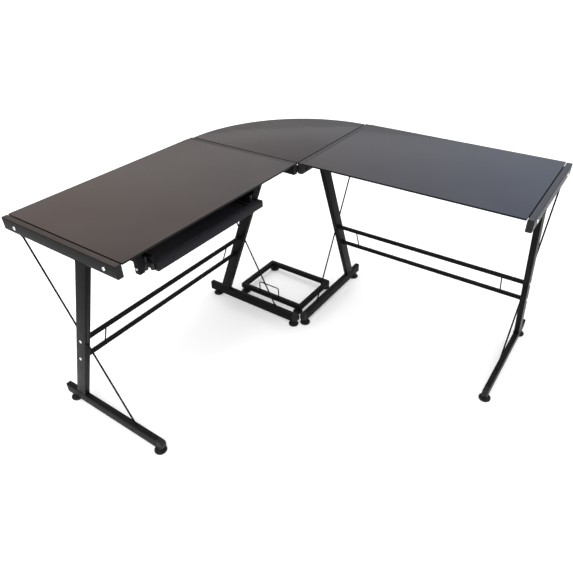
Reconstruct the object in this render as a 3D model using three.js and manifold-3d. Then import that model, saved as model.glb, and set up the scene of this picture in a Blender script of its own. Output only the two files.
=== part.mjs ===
// L-shaped computer desk: two glass-topped wings joined by a quarter-round glass corner,
// a sliding keyboard tray under the left wing, and a separate stand for the computer case.
// Millimetres, +Z up, origin on the floor under the middle of the desk's outline.
//
// Both wings have the same frames, so their pieces are drawn once in wing coordinates:
// x runs along the wing from the inner corner, y runs back from the front edge, z is up.
// The right wing uses them as drawn and the left wing is their mirror image.

import * as THREE from "three";
import { mergeVertices } from "three/addons/utils/BufferGeometryUtils.js";
import Module from "manifold-3d";

const wasm = await Module();
wasm.setup();

// Desk outline.
const DESK_HEIGHT = 737;
const DESK_DEPTH = 508;
const FRAME_CENTRES = { inner: 11, end: 804 };
const OUTLINE_SHIFT = 158.75; // from the inner corner to the middle of the outline

// Glass.
const GLASS_THICKNESS = 6;
const GLASS_BOTTOM = DESK_HEIGHT - GLASS_THICKNESS;
const WING_GLASS_START = 22;
const WING_GLASS_END = 792;
const GLASS_CORNER = 3;
const GLASS_EDGE = 1;
const CORNER_GLASS_RADIUS = 499; // 9 mm inside the backs of the arms
const CORNER_ARC_STEPS = 48;

// Frame tube, 20 x 40.
const TUBE_HALF = 10;
const TUBE_CORNER = 2;
const ARM_BOTTOM = 696;
const ARM_TOP = 736;
const FOOT_BOTTOM = 17;
const FOOT_TOP = 57;
const FOOT_FRONTS = { inner: 0, end: -8 }; // the two inner noses almost meet at the corner
const FOOT_BACK = 488;
const FOOT_NOSE_TOP_RADIUS = 8;
const FOOT_NOSE_BOTTOM_RADIUS = 22;
const POST_HEIGHT = ARM_BOTTOM - FOOT_TOP;
const POST_TOP_FRONT = 132;
const POST_TOP_BACK = 178;
const POST_LEAN = 244.5; // how far the foot of the post stands behind its head

// Brace rod, crossing the post through a hole.
const BRACE_RADIUS = 3;
const BRACE_HOLE_RADIUS = 3.6;
const BRACE_FOOT_DEPTH = 120;
const BRACE_HEAD_DEPTH = 443;
const BRACE_SIDES = 16;

// Levelling feet.
const LEVELLER_RADIUS = 21.5;
const LEVELLER_THICKNESS = 8;
const LEVELLER_DEPTHS = {
  inner: { front: 25, rear: 453 },
  end: { front: 16, rear: 453 },
};
const STEM_RADIUS = 5;
const COLLAR_RADIUS = 10;
const COLLAR_TOP = 12;
const STEM_GAP = 0.5;
const LEVELLER_SIDES = 32;

// Angle strips that carry the glass.
const LEDGE_WIDTH = 18;
const LEDGE_SHEET = 2.5;
const LEDGE_TOP = 730.5;
const LEDGE_BOTTOM = 702;
const LEDGE_START = 30;
const LEDGE_END = 478;

// Angle bracket that joins the two inner arms behind their front ends, in desk coordinates.
const BRACKET_LEG = 28;
const BRACKET_BOTTOM = 701;
const BRACKET_TOP = 727;

// Stretcher between the posts of a wing: two bars and two spacer rods.
const STRETCHER_HALF = 6.5;
const STRETCHER_CORNER = 1.5;
const STRETCHER_HEIGHTS = [355, 264];
const SPACER_RADIUS = 2.5;
const SPACER_INSET = 80;
const SPACER_SIDES = 12;

// Bolt heads on the outer faces of the end arms.
const BOLT_RADIUS = 6;
const BOLT_HEAD = 3;
const BOLT_HEIGHT = 715;
const BOLT_DEPTHS = { front: 50, rear: 450 };
const BOLT_SIDES = 24;

// Keyboard tray and what it hangs from, in wing coordinates of the left wing.
const RAIL_BOTTOM = 708;
const RAIL_TOP = 728;
const RAIL_START = 24;
const RAIL_END = 791;
const SQUARE_TUBE = 20;
const HANGER_FRONTS = { front: 40, rear: 305 };
const HANGER_BOTTOM = 643.5;
const TRAY_MIDDLE = 450.5; // the plane the two slides are mirrored about
const SLIDE_BOTTOM = 667;
const SLIDE_TOP = 690;
const SLIDE_GROOVE_BOTTOM = 672;
const SLIDE_GROOVE_TOP = 685;
const SLIDE_SHEET = 3;
const FIXED_SLIDE = { web: 697, face: 690, groove: 693, flange: 661, front: 40, back: 345 };
const MOVING_SLIDE = { web: 672, face: 683, groove: 680, flange: 645, back: 325 };
const MOVING_SLIDE_FRONTS = { left: 25, right: 39 }; // the right one starts behind the tray's lip
const MIDDLE_SLIDE = { from: 684, to: 689, bottom: 670, top: 687, front: 42, back: 330 };
const HANGER_FROM = 697;
const TRAY = { left: 672, right: 229, front: 15, back: 340, bottom: 639, top: 663 };
const TRAY_LIP_END = 187;
const TRAY_LIP_BACK = 39;
const TRAY_BORDER = 12;
const TRAY_FRONT_BORDER = 22;
const TRAY_RECESS_DEPTH = 6;
const TRAY_CORNER = 3;
const TRAY_EDGE = 1.5;

// Stand for the computer case, in desk coordinates measured from the inner corner.
const STAND = { left: -375, right: -36, front: 60, back: 309, bottom: 20, top: 40 };
const STAND_CORNER = 8;
const STAND_EDGE = 1.5;
const STAND_FEET = {
  front_left: [-353, 70],
  front_right: [-58, 70],
  back_left: [-353, 299],
  back_right: [-58, 299],
};
const GUARD = { left: -268, right: -162, depth: 70, top: 86, radius: 2.5, bend: 9 };
const GUARD_SIDES = 12;
const GUARD_BEND_STEPS = 5;

const MATERIALS = {
  black_powder_coat: { color: 0x17171a, roughness: 0.45, metalness: 0.3 },
  smoked_glass: { color: 0x55504e, roughness: 0.08, metalness: 0.0 },
  zinc_steel: { color: 0x8d8f92, roughness: 0.35, metalness: 0.9 },
  bolt_steel: { color: 0xc9cacc, roughness: 0.25, metalness: 1.0 },
  black_plastic: { color: 0x121213, roughness: 0.6, metalness: 0.0 },
  black_tray_board: { color: 0x1b1d20, roughness: 0.5, metalness: 0.0 },
};

const TO_ALONG_X = new THREE.Matrix4().set(0, 0, 1, 0, 1, 0, 0, 0, 0, 1, 0, 0, 0, 0, 0, 1);
const TO_ALONG_Y = new THREE.Matrix4().set(0, 1, 0, 0, 0, 0, 1, 0, 1, 0, 0, 0, 0, 0, 0, 1);
const TO_LEFT_WING = new THREE.Matrix4().set(0, -1, 0, 0, -1, 0, 0, 0, 0, 0, 1, 0, 0, 0, 0, 1);

// ---- outlines ----

function roundedRectangle(x0, x1, y0, y1, radius) {
  const shape = new THREE.Shape();
  const quarter = Math.PI / 2;
  shape.absarc(x1 - radius, y0 + radius, radius, -quarter, 0);
  shape.absarc(x1 - radius, y1 - radius, radius, 0, quarter);
  shape.absarc(x0 + radius, y1 - radius, radius, quarter, 2 * quarter);
  shape.absarc(x0 + radius, y0 + radius, radius, 2 * quarter, 3 * quarter);
  shape.closePath();
  return shape;
}

function polygon(points) {
  return new THREE.Shape(points.map(([x, y]) => new THREE.Vector2(x, y)));
}

function ellipse(x, y, radiusX, radiusY, sides) {
  const points = [];
  for (let i = 0; i < sides; i += 1) {
    const angle = (2 * Math.PI * i) / sides;
    points.push([x + radiusX * Math.cos(angle), y + radiusY * Math.sin(angle)]);
  }
  return polygon(points);
}

// ---- solids ----

// An outline in x and y drawn out from z0 to z1, with its rims rounded by edge.
function alongZ(outline, z0, z1, edge = 0, curveSegments = 3) {
  const geometry = new THREE.ExtrudeGeometry(outline, {
    depth: z1 - z0 - 2 * edge,
    bevelEnabled: edge > 0,
    bevelThickness: edge,
    bevelSize: edge,
    bevelOffset: -edge,
    bevelSegments: 2,
    curveSegments,
  });
  return geometry.translate(0, 0, z0 + edge);
}

// An outline in y and z drawn out from x0 to x1.
function alongX(outline, x0, x1, edge = 0) {
  return alongZ(outline, x0, x1, edge).applyMatrix4(TO_ALONG_X);
}

// An outline in z and x drawn out from y0 to y1.
function alongY(outline, y0, y1, edge = 0) {
  return alongZ(outline, y0, y1, edge).applyMatrix4(TO_ALONG_Y);
}

// Pushes each point back in y in proportion to its height above z0.
function leaned(geometry, z0, slope) {
  const shear = new THREE.Matrix4().set(1, 0, 0, 0, 0, 1, slope, -slope * z0, 0, 0, 1, 0, 0, 0, 0, 1);
  return geometry.applyMatrix4(shear);
}

// A profile of [radius, height] points turned about the z axis through (x, y).
function turned(profile, sides, x = 0, y = 0) {
  const points = profile.map(([radius, height]) => new THREE.Vector2(radius, height));
  return new THREE.LatheGeometry(points, sides).rotateX(Math.PI / 2).translate(x, y, 0);
}

function toManifold(geometry) {
  const bare = geometry.index ? geometry.toNonIndexed() : geometry.clone();
  bare.deleteAttribute("normal");
  bare.deleteAttribute("uv");
  const merged = mergeVertices(bare, 1e-3);
  return new wasm.Manifold(
    new wasm.Mesh({
      numProp: 3,
      vertProperties: merged.attributes.position.array,
      triVerts: new Uint32Array(merged.index.array),
    }),
  );
}

function fromManifold(solid) {
  const mesh = solid.getMesh();
  const geometry = new THREE.BufferGeometry();
  geometry.setAttribute("position", new THREE.BufferAttribute(new Float32Array(mesh.vertProperties), 3));
  geometry.setIndex(new THREE.BufferAttribute(new Uint32Array(mesh.triVerts), 1));
  geometry.computeVertexNormals();
  return geometry;
}

function joined(...geometries) {
  return fromManifold(geometries.map(toManifold).reduce((whole, part) => whole.add(part)));
}

function cutBy(geometry, cutter) {
  return fromManifold(toManifold(geometry).subtract(toManifold(cutter)));
}

// The mirror image for the left wing, with its faces turned back outwards.
function toLeftWing(geometry) {
  const mirrored = geometry.index ? geometry.toNonIndexed() : geometry;
  mirrored.applyMatrix4(TO_LEFT_WING);
  const position = mirrored.getAttribute("position");
  const flipped = new Float32Array(position.count * 3);
  for (let corner = 0; corner < position.count; corner += 3) {
    [corner, corner + 2, corner + 1].forEach((source, place) => {
      const target = (corner + place) * 3;
      flipped[target] = position.getX(source);
      flipped[target + 1] = position.getY(source);
      flipped[target + 2] = position.getZ(source);
    });
  }
  const turnedBack = new THREE.BufferGeometry();
  turnedBack.setAttribute("position", new THREE.BufferAttribute(flipped, 3));
  turnedBack.computeVertexNormals();
  return turnedBack;
}

// ---- frames ----

function frameArm(centre) {
  const outline = roundedRectangle(ARM_BOTTOM, ARM_TOP, centre - TUBE_HALF, centre + TUBE_HALF, TUBE_CORNER);
  return alongY(outline, 0, DESK_DEPTH);
}

// A round rod in the frame's middle plane, cut level at both ends.
function braceRod(centre, radius) {
  const slope = (BRACE_HEAD_DEPTH - BRACE_FOOT_DEPTH) / POST_HEIGHT;
  const stretched = radius * Math.hypot(1, slope);
  const outline = ellipse(centre, BRACE_FOOT_DEPTH, radius, stretched, BRACE_SIDES);
  return leaned(alongZ(outline, FOOT_TOP, ARM_BOTTOM), FOOT_TOP, slope);
}

function framePost(centre) {
  const outline = roundedRectangle(
    centre - TUBE_HALF,
    centre + TUBE_HALF,
    POST_TOP_FRONT + POST_LEAN,
    POST_TOP_BACK + POST_LEAN,
    TUBE_CORNER,
  );
  const post = leaned(alongZ(outline, FOOT_TOP, ARM_BOTTOM), FOOT_TOP, -POST_LEAN / POST_HEIGHT);
  return cutBy(post, braceRod(centre, BRACE_HOLE_RADIUS));
}

function footBar(centre, front) {
  const outline = new THREE.Shape();
  const half = Math.PI;
  outline.moveTo(FOOT_BACK, FOOT_BOTTOM);
  outline.lineTo(FOOT_BACK, FOOT_TOP);
  outline.absarc(
    front + FOOT_NOSE_TOP_RADIUS,
    FOOT_TOP - FOOT_NOSE_TOP_RADIUS,
    FOOT_NOSE_TOP_RADIUS,
    half / 2,
    half,
  );
  outline.absarc(
    front + FOOT_NOSE_BOTTOM_RADIUS,
    FOOT_BOTTOM + FOOT_NOSE_BOTTOM_RADIUS,
    FOOT_NOSE_BOTTOM_RADIUS,
    half,
    1.5 * half,
  );
  outline.closePath();
  const bar = alongZ(outline, centre - TUBE_HALF, centre + TUBE_HALF, TUBE_CORNER, 6);
  return bar.applyMatrix4(TO_ALONG_X);
}

function leveller(x, y, stemTop) {
  const radius = LEVELLER_RADIUS;
  const profile = [
    [0, 0],
    [radius - 2, 0],
    [radius, 2],
    [radius, LEVELLER_THICKNESS - 3],
    [radius - 1, LEVELLER_THICKNESS - 1],
    [radius - 3, LEVELLER_THICKNESS],
    [COLLAR_RADIUS, LEVELLER_THICKNESS],
    [COLLAR_RADIUS - 1, COLLAR_TOP],
    [STEM_RADIUS, COLLAR_TOP],
    [STEM_RADIUS, stemTop],
    [0, stemTop],
  ];
  return turned(profile, LEVELLER_SIDES, x, y);
}

// An angle strip on the side of an arm; side is 1 on its far side and -1 on its near side.
function glassLedge(centre, side) {
  const wall = centre + side * TUBE_HALF;
  const outline = polygon([
    [LEDGE_BOTTOM, wall],
    [LEDGE_BOTTOM, wall + side * LEDGE_SHEET],
    [LEDGE_TOP - LEDGE_SHEET, wall + side * LEDGE_SHEET],
    [LEDGE_TOP - LEDGE_SHEET, wall + side * LEDGE_WIDTH],
    [LEDGE_TOP, wall + side * LEDGE_WIDTH],
    [LEDGE_TOP, wall],
  ]);
  return alongY(outline, LEDGE_START, LEDGE_END);
}

function boltHead(centre, depth) {
  const profile = [
    [0, 0],
    [BOLT_RADIUS, 0],
    [BOLT_RADIUS, BOLT_HEAD * 0.4],
    [BOLT_RADIUS * 0.85, BOLT_HEAD * 0.75],
    [BOLT_RADIUS * 0.5, BOLT_HEAD],
    [0, BOLT_HEAD],
  ];
  const head = turned(profile, BOLT_SIDES).applyMatrix4(TO_ALONG_X);
  return head.translate(centre + TUBE_HALF, depth, BOLT_HEIGHT);
}

function postMiddle(z) {
  const middle = (POST_TOP_FRONT + POST_TOP_BACK) / 2;
  return middle + (POST_LEAN * (ARM_BOTTOM - z)) / POST_HEIGHT;
}

function stretcher() {
  const from = FRAME_CENTRES.inner + TUBE_HALF;
  const to = FRAME_CENTRES.end - TUBE_HALF;
  const bars = STRETCHER_HEIGHTS.map((z) => {
    const y = postMiddle(z);
    const outline = roundedRectangle(
      y - STRETCHER_HALF,
      y + STRETCHER_HALF,
      z - STRETCHER_HALF,
      z + STRETCHER_HALF,
      STRETCHER_CORNER,
    );
    return alongX(outline, from, to);
  });
  const [upper, lower] = STRETCHER_HEIGHTS;
  const slope = -POST_LEAN / POST_HEIGHT;
  const spacers = [from + SPACER_INSET, to - SPACER_INSET].map((x) => {
    const stretched = SPACER_RADIUS * Math.hypot(1, slope);
    const outline = ellipse(x, postMiddle(lower), SPACER_RADIUS, stretched, SPACER_SIDES);
    return leaned(alongZ(outline, lower, upper), lower, slope);
  });
  return joined(...bars, ...spacers);
}

function wingGlass() {
  const outline = roundedRectangle(WING_GLASS_START, WING_GLASS_END, 0, DESK_DEPTH, GLASS_CORNER);
  return alongZ(outline, GLASS_BOTTOM, DESK_HEIGHT, GLASS_EDGE);
}

function cornerGlass() {
  const outline = new THREE.Shape();
  outline.moveTo(0, 0);
  outline.lineTo(0, CORNER_GLASS_RADIUS);
  outline.absarc(0, 0, CORNER_GLASS_RADIUS, Math.PI / 2, Math.PI);
  outline.closePath();
  return alongZ(outline, GLASS_BOTTOM, DESK_HEIGHT, GLASS_EDGE, CORNER_ARC_STEPS);
}

// Its outer faces lie against the near walls of the two inner arms.
function cornerBracket() {
  const wall = FRAME_CENTRES.inner - TUBE_HALF;
  const outline = polygon([
    [-BRACKET_LEG, -wall],
    [wall, -wall],
    [wall, BRACKET_LEG],
    [wall - LEDGE_SHEET, BRACKET_LEG],
    [wall - LEDGE_SHEET, LEDGE_SHEET - wall],
    [-BRACKET_LEG, LEDGE_SHEET - wall],
  ]);
  return alongZ(outline, BRACKET_BOTTOM, BRACKET_TOP);
}

// ---- keyboard tray ----

function acrossTray(x) {
  return 2 * TRAY_MIDDLE - x;
}

function trayRail(front) {
  const outline = roundedRectangle(front, front + SQUARE_TUBE, RAIL_BOTTOM, RAIL_TOP, TUBE_CORNER);
  return alongX(outline, RAIL_START, RAIL_END);
}

function hangerLeg(from, front) {
  const outline = roundedRectangle(from, from + SQUARE_TUBE, front, front + SQUARE_TUBE, TUBE_CORNER);
  return alongZ(outline, HANGER_BOTTOM, RAIL_BOTTOM);
}

// A slide member: a channel with a ball groove along its open face, and a flange that hangs from its
// web down to size.flange. place maps x to either side of the tray.
function groovedSlide(size, front, place) {
  const flangeFace = size.web + Math.sign(size.face - size.web) * SLIDE_SHEET;
  const outline = polygon([
    [size.flange, place(size.web)],
    [SLIDE_TOP, place(size.web)],
    [SLIDE_TOP, place(size.face)],
    [SLIDE_GROOVE_TOP, place(size.face)],
    [SLIDE_GROOVE_TOP - 2, place(size.groove)],
    [SLIDE_GROOVE_BOTTOM + 2, place(size.groove)],
    [SLIDE_GROOVE_BOTTOM, place(size.face)],
    [SLIDE_BOTTOM, place(size.face)],
    [SLIDE_BOTTOM, place(flangeFace)],
    [size.flange, place(flangeFace)],
  ]);
  return alongY(outline, front, size.back);
}

function middleSlide(place) {
  const size = MIDDLE_SLIDE;
  const edges = [place(size.from), place(size.to)].sort((a, b) => a - b);
  const outline = roundedRectangle(size.bottom, size.top, edges[0], edges[1], 1.5);
  return alongY(outline, size.front, size.back);
}

function keyboardTray() {
  const board = alongZ(
    roundedRectangle(TRAY.right, TRAY.left, TRAY.front, TRAY.back, TRAY_CORNER),
    TRAY.bottom,
    TRAY.top,
    TRAY_EDGE,
  );
  const lip = alongZ(
    roundedRectangle(TRAY_LIP_END, TRAY.left, TRAY.front, TRAY_LIP_BACK, TRAY_CORNER),
    TRAY.bottom,
    TRAY.top,
    TRAY_EDGE,
  );
  const recess = alongZ(
    roundedRectangle(
      TRAY.right + TRAY_BORDER,
      TRAY.left - TRAY_BORDER,
      TRAY.front + TRAY_FRONT_BORDER,
      TRAY.back - TRAY_BORDER,
      TRAY_CORNER,
    ),
    TRAY.top - TRAY_RECESS_DEPTH,
    TRAY.top + TRAY_RECESS_DEPTH,
  );
  return cutBy(joined(board, lip), recess);
}

// ---- computer stand ----

function standRing() {
  const outline = roundedRectangle(STAND.left, STAND.right, STAND.front, STAND.back, STAND_CORNER);
  const hole = roundedRectangle(
    STAND.left + SQUARE_TUBE,
    STAND.right - SQUARE_TUBE,
    STAND.front + SQUARE_TUBE,
    STAND.back - SQUARE_TUBE,
    TUBE_CORNER,
  );
  outline.holes.push(hole);
  return alongZ(outline, STAND.bottom, STAND.top, STAND_EDGE);
}

// Points and directions along the guard: up, over and down again, with rounded bends.
function guardPath() {
  const { left, right, top, bend } = GUARD;
  const path = [[left, STAND.top, Math.PI / 2]];
  const bends = [
    [left + bend, Math.PI],
    [right - bend, Math.PI / 2],
  ];
  bends.forEach(([x, start]) => {
    for (let i = 0; i <= GUARD_BEND_STEPS; i += 1) {
      const angle = start - (Math.PI / 2) * (i / GUARD_BEND_STEPS);
      path.push([x + bend * Math.cos(angle), top - bend + bend * Math.sin(angle), angle - Math.PI / 2]);
    }
  });
  path.push([right, STAND.top, -Math.PI / 2]);
  return path;
}

// A round rod bent along guardPath in the plane y = GUARD.depth.
function guardLoop() {
  const path = guardPath();
  const point = ([x, z, heading], side) => {
    const angle = (2 * Math.PI * side) / GUARD_SIDES;
    const across = GUARD.radius * Math.cos(angle);
    return [
      x - across * Math.sin(heading),
      GUARD.depth + GUARD.radius * Math.sin(angle),
      z + across * Math.cos(heading),
    ];
  };
  const corners = [];
  for (let i = 0; i + 1 < path.length; i += 1) {
    for (let side = 0; side < GUARD_SIDES; side += 1) {
      const a = point(path[i], side);
      const b = point(path[i], side + 1);
      const c = point(path[i + 1], side + 1);
      const d = point(path[i + 1], side);
      corners.push(...a, ...c, ...b, ...a, ...d, ...c);
    }
  }
  const start = path[0];
  const end = path[path.length - 1];
  for (let side = 1; side + 1 < GUARD_SIDES; side += 1) {
    corners.push(...point(start, 0), ...point(start, side), ...point(start, side + 1));
    corners.push(...point(end, 0), ...point(end, side + 1), ...point(end, side));
  }
  const geometry = new THREE.BufferGeometry();
  geometry.setAttribute("position", new THREE.BufferAttribute(new Float32Array(corners), 3));
  geometry.computeVertexNormals();
  return geometry;
}

// ---- the desk ----

function piece(group, name, geometry, materialName) {
  const material = new THREE.MeshStandardMaterial(MATERIALS[materialName]);
  material.name = materialName;
  const mesh = new THREE.Mesh(geometry, material);
  mesh.name = name;
  group.add(mesh);
}

function namedGroup(parent, name) {
  const group = new THREE.Group();
  group.name = name;
  parent.add(group);
  return group;
}

function addFrame(group, wing, end, asWing) {
  const centre = FRAME_CENTRES[end];
  const frame = namedGroup(group, `${wing}_${end}_frame`);
  const label = `${wing}_${end}`;
  piece(frame, `${label}_arm`, asWing(frameArm(centre)), "black_powder_coat");
  piece(frame, `${label}_post`, asWing(framePost(centre)), "black_powder_coat");
  piece(frame, `${label}_foot_bar`, asWing(footBar(centre, FOOT_FRONTS[end])), "black_powder_coat");
  piece(frame, `${label}_brace`, asWing(braceRod(centre, BRACE_RADIUS)), "black_powder_coat");
  Object.entries(LEVELLER_DEPTHS[end]).forEach(([place, depth]) => {
    const foot = leveller(centre, depth, FOOT_BOTTOM - STEM_GAP);
    piece(frame, `${label}_${place}_leveller`, asWing(foot), "black_plastic");
  });
}

function addWing(root, wing, asWing) {
  const group = namedGroup(root, `${wing}_wing`);
  Object.keys(FRAME_CENTRES).forEach((end) => addFrame(group, wing, end, asWing));
  piece(group, `${wing}_glass`, asWing(wingGlass()), "smoked_glass");
  piece(group, `${wing}_stretcher`, asWing(stretcher()), "black_powder_coat");
  const { inner, end } = FRAME_CENTRES;
  piece(group, `${wing}_end_ledge`, asWing(glassLedge(end, -1)), "black_powder_coat");
  piece(group, `${wing}_inner_ledge`, asWing(glassLedge(inner, 1)), "black_powder_coat");
  piece(group, `${wing}_corner_ledge`, asWing(glassLedge(inner, -1)), "black_powder_coat");
  Object.entries(BOLT_DEPTHS).forEach(([place, depth]) => {
    piece(group, `${wing}_${place}_arm_bolt`, asWing(boltHead(end, depth)), "bolt_steel");
  });
}

function addKeyboardTray(root, asWing) {
  const group = namedGroup(root, "keyboard_tray_group");
  const sides = { left: (x) => x, right: acrossTray };
  Object.entries(HANGER_FRONTS).forEach(([end, front]) => {
    piece(group, `tray_${end}_rail`, asWing(trayRail(front)), "black_powder_coat");
    Object.entries(sides).forEach(([side, place]) => {
      const from = Math.min(place(HANGER_FROM), place(HANGER_FROM + SQUARE_TUBE));
      piece(group, `tray_${side}_${end}_hanger`, asWing(hangerLeg(from, front)), "black_powder_coat");
    });
  });
  Object.entries(sides).forEach(([side, place]) => {
    const fixed = groovedSlide(FIXED_SLIDE, FIXED_SLIDE.front, place);
    const moving = groovedSlide(MOVING_SLIDE, MOVING_SLIDE_FRONTS[side], place);
    piece(group, `${side}_fixed_slide`, asWing(fixed), "black_powder_coat");
    piece(group, `${side}_middle_slide`, asWing(middleSlide(place)), "zinc_steel");
    piece(group, `${side}_moving_slide`, asWing(moving), "black_powder_coat");
  });
  piece(group, "keyboard_tray", asWing(keyboardTray()), "black_tray_board");
}

function addComputerStand(root) {
  const group = namedGroup(root, "computer_stand");
  piece(group, "stand_ring", standRing(), "black_powder_coat");
  piece(group, "stand_guard", guardLoop(), "black_powder_coat");
  Object.entries(STAND_FEET).forEach(([place, [x, y]]) => {
    piece(group, `stand_${place}_leveller`, leveller(x, y, STAND.bottom - STEM_GAP), "black_plastic");
  });
}

const desk = new THREE.Group();
desk.name = "computer_desk";
const asDrawn = (geometry) => geometry;
addWing(desk, "left", toLeftWing);
addWing(desk, "right", asDrawn);
piece(desk, "corner_glass", cornerGlass(), "smoked_glass");
piece(desk, "corner_bracket", cornerBracket(), "black_powder_coat");
addKeyboardTray(desk, toLeftWing);
addComputerStand(desk);
desk.children.forEach((child) => child.position.set(-OUTLINE_SHIFT, OUTLINE_SHIFT, 0));

export default desk;
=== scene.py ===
"""Looks for the corner computer desk.

It has smoked glass tops, black tube frames, a sliding keyboard tray and a loose computer stand.
Sizes are in millimetres in wing coordinates until a piece is made: x runs along a wing from the inner
corner, y runs back from its front edge and z is up. The right wing and the stand use them as they are,
and the left wing is their mirror image.
"""
import math

import bmesh
import bpy
from mathutils import Matrix, Vector


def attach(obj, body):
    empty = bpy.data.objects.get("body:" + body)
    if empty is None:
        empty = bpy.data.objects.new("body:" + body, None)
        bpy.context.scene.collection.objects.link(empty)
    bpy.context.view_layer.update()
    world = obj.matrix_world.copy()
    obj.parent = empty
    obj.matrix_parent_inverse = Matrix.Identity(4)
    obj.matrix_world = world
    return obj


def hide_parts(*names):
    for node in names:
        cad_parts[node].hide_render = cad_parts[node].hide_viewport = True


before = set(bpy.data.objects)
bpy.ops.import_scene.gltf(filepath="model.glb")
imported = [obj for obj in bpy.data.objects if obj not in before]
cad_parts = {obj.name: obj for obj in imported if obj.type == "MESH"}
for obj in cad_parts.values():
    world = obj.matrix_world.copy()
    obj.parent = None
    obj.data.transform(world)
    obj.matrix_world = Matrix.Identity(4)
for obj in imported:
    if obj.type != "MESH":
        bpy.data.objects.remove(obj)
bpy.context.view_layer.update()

MM = 0.001
SHIFT = 158.75  # from the inner corner to the middle of the outline

# Frames. Depths are distances back from the front edge of a wing's glass.
CENTRES = {"inner": 11.0, "end": 804.0}  # the middle of each frame along its wing
FOOT_FRONTS = {"inner": 0.0, "end": -8.0}
DEPTH = 508.0
HALF_TUBE = 10.0
TUBE_WALL = 1.6
TUBE_RADIUS = 2.5
ARM_Z = (696.0, 736.0)
FOOT_Z = (17.0, 57.0)
FOOT_BACK = 488.0
NOSE_LENGTH = 26.0
PLUG_LIP = 1.6
PLUG_LENGTH = 14.0
SEAM = 0.5
POST_TOP = (132.0, 178.0)
POST_LEAN = 244.5
POST_RISE = ARM_Z[0] - FOOT_Z[1]
BRACE_DEPTHS = (120.0, 443.0)
FERRULE_HEIGHT = 5.5
POST_BOLT_RADIUS = 5.6
POST_BOLT_HEIGHTS = {"inner": 0.8, "end": 2.6}
LEVELLER_DEPTHS = {
    "inner": {"front": 25.0, "rear": 453.0},
    "end": {"front": 16.0, "rear": 453.0},
}
LEVELLER_RADIUS = 21.4
LEVELLER_TOP = 12.0
NUT_FLATS = 15.0
NUT_Z = 12.3
NUT_HEIGHT = 4.5
ARM_BOLT_DEPTHS = {"front": 50.0, "rear": 450.0}
ARM_BOLT_Z = 715.0
ARM_BOLT_RADIUS = 6.0
ARM_BOLT_HEIGHT = 3.0

# Stretchers and what carries the glass.
STRETCHER_HEIGHTS = (355.0, 264.0)
STRETCHER_HALF = 6.5
FLANGE_SHEET = 2.0
LEDGE_SHEET = 2.5
LEDGE_TOP = 730.5
LEDGE_SCREW_DEPTHS = (70.0, 254.0, 438.0)
LEDGE_SCREW_Z = 712.0
BRACKET_SCREW = (16.0, 714.0)  # its depth and height
SCREW_RADIUS = 4.2
SCREW_HEIGHT = 2.2
PAD_DEPTHS = (60.0, 254.0, 448.0)
PAD_FROM_WALL = 10.0
PAD_RADIUS = 7.0
PAD_HEIGHT = 0.4

# Keyboard tray. Places along the wing are for its left side, and the right side mirrors them.
TRAY_MIDDLE = 450.5
HANGER_OUTER = 717.0
HANGER_FRONTS = {"front": 40.0, "rear": 305.0}
HANGER_WIDTH = 20.0
HANGER_SCREW_Z = 661.0
HANGER_BOTTOM = 643.5
RAIL_BOTTOM = 708.0
SLIDE_TOP = 690.0
RIVET_X = 678.5
RIVET_DEPTHS = (66.0, 190.0, 300.0)
STOP_Z = (645.5, 666.5)
FIXED_STOP_X = (684.5, 696.5)
FIXED_STOP_DEPTHS = (40.0, 50.0)
MOVING_STOP_X = (675.2, 683.5)
MOVING_STOP_FRONTS = {"left": 25.0, "right": 39.0}
MOVING_STOP_LENGTH = 9.0

# Computer stand.
STAND_FEET = {
    "front_left": (-353.0, 70.0),
    "front_right": (-58.0, 70.0),
    "back_left": (-353.0, 299.0),
    "back_right": (-58.0, 299.0),
}
STAND_X = (-375.0, -36.0)
STAND_Y = (60.0, 309.0)
STAND_Z = (20.0, 40.0)
STAND_NUT_Z = 12.6
STAND_NUT_HEIGHT = 5.0
GUARD_ENDS = (-268.0, -162.0)
GUARD_Y = 70.0

SMOOTH_ANGLE = 35.0  # edges sharper than this stay sharp on the pieces made here


# ---------------------------------------------------------------- mesh code

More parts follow.
